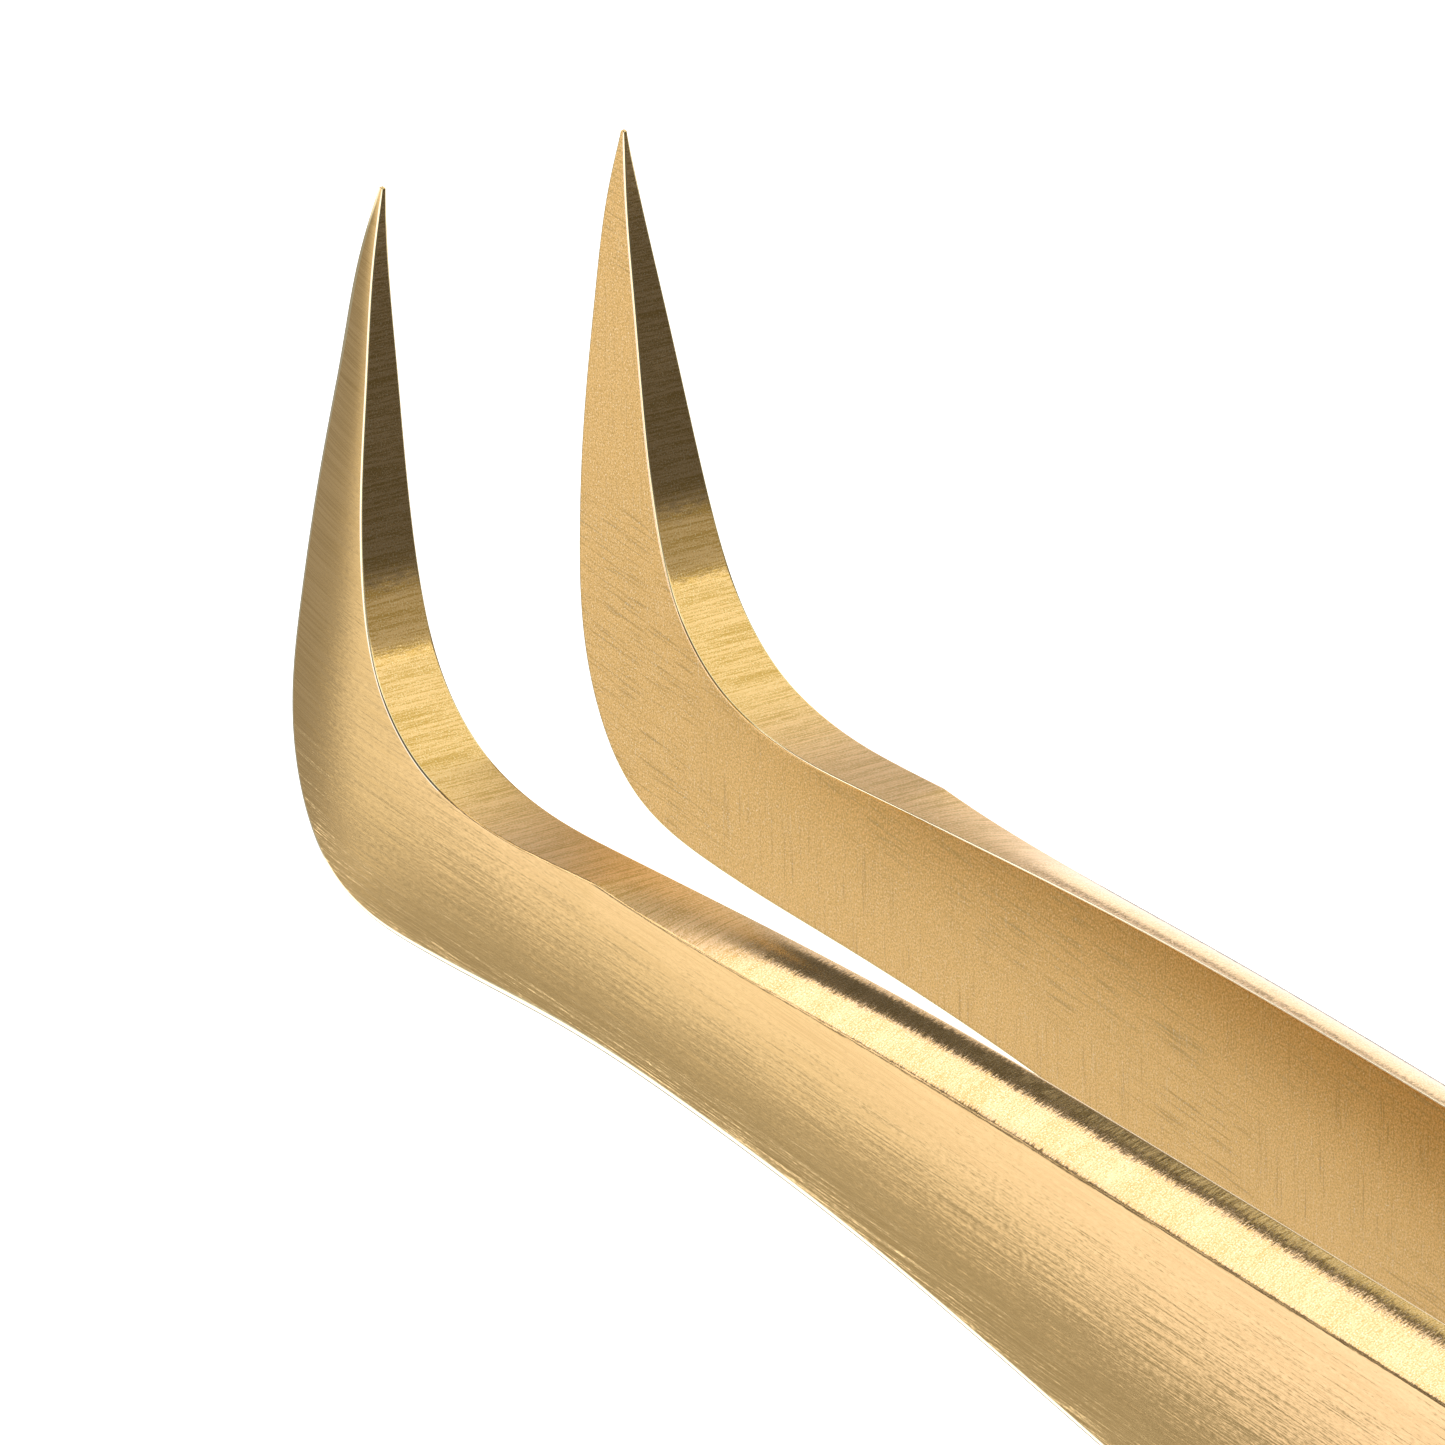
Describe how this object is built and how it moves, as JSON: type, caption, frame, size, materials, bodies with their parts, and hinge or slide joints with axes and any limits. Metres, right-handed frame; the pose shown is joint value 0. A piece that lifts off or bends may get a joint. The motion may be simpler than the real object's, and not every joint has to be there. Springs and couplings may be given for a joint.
{
  "type": "stamp tongs",
  "caption": "Spring-steel tongs with sharp points bent up at a right angle, gold plated, arms welded together at the heel.",
  "frame": {"origin": "midway along the tongs on the middle plane between the arms, on the level they stand on", "axes": "+X from the points to the heel, +Y across the arms, +Z the way the bent points stand"},
  "size_m": [0.1252, 0.0094, 0.0181],
  "materials": {
    "arm_plate": "gold-coloured titanium nitride plate over brushed spring steel, ground edges",
    "filler_plate": "gold-coloured plate, satin"
  },
  "bodies": {
    "heel": {"heel_filler": "filler_plate", "left_heel_leaf": "arm_plate", "right_heel_leaf": "arm_plate"},
    "left_arm": {"left_arm": "arm_plate"},
    "right_arm": {"right_arm": "arm_plate"}
  },
  "joints": [
    {"name": "left_arm_flex", "type": "hinge", "parent": "heel", "child": "left_arm", "pos_m": [0.0475, -0.00185, 0], "axis": [0, 0, -1], "range_deg": [-1, 1.57], "stiffness_Nm_per_rad": 1.8},
    {"name": "right_arm_flex", "type": "hinge", "parent": "heel", "child": "right_arm", "pos_m": [0.0475, 0.00185, 0], "axis": [0, 0, 1], "range_deg": [-1, 1.57], "stiffness_Nm_per_rad": 1.8}
  ],
  "couplings": [
    {"joint": "right_arm_flex", "follows": "left_arm_flex", "ratio": 1}
  ]
}
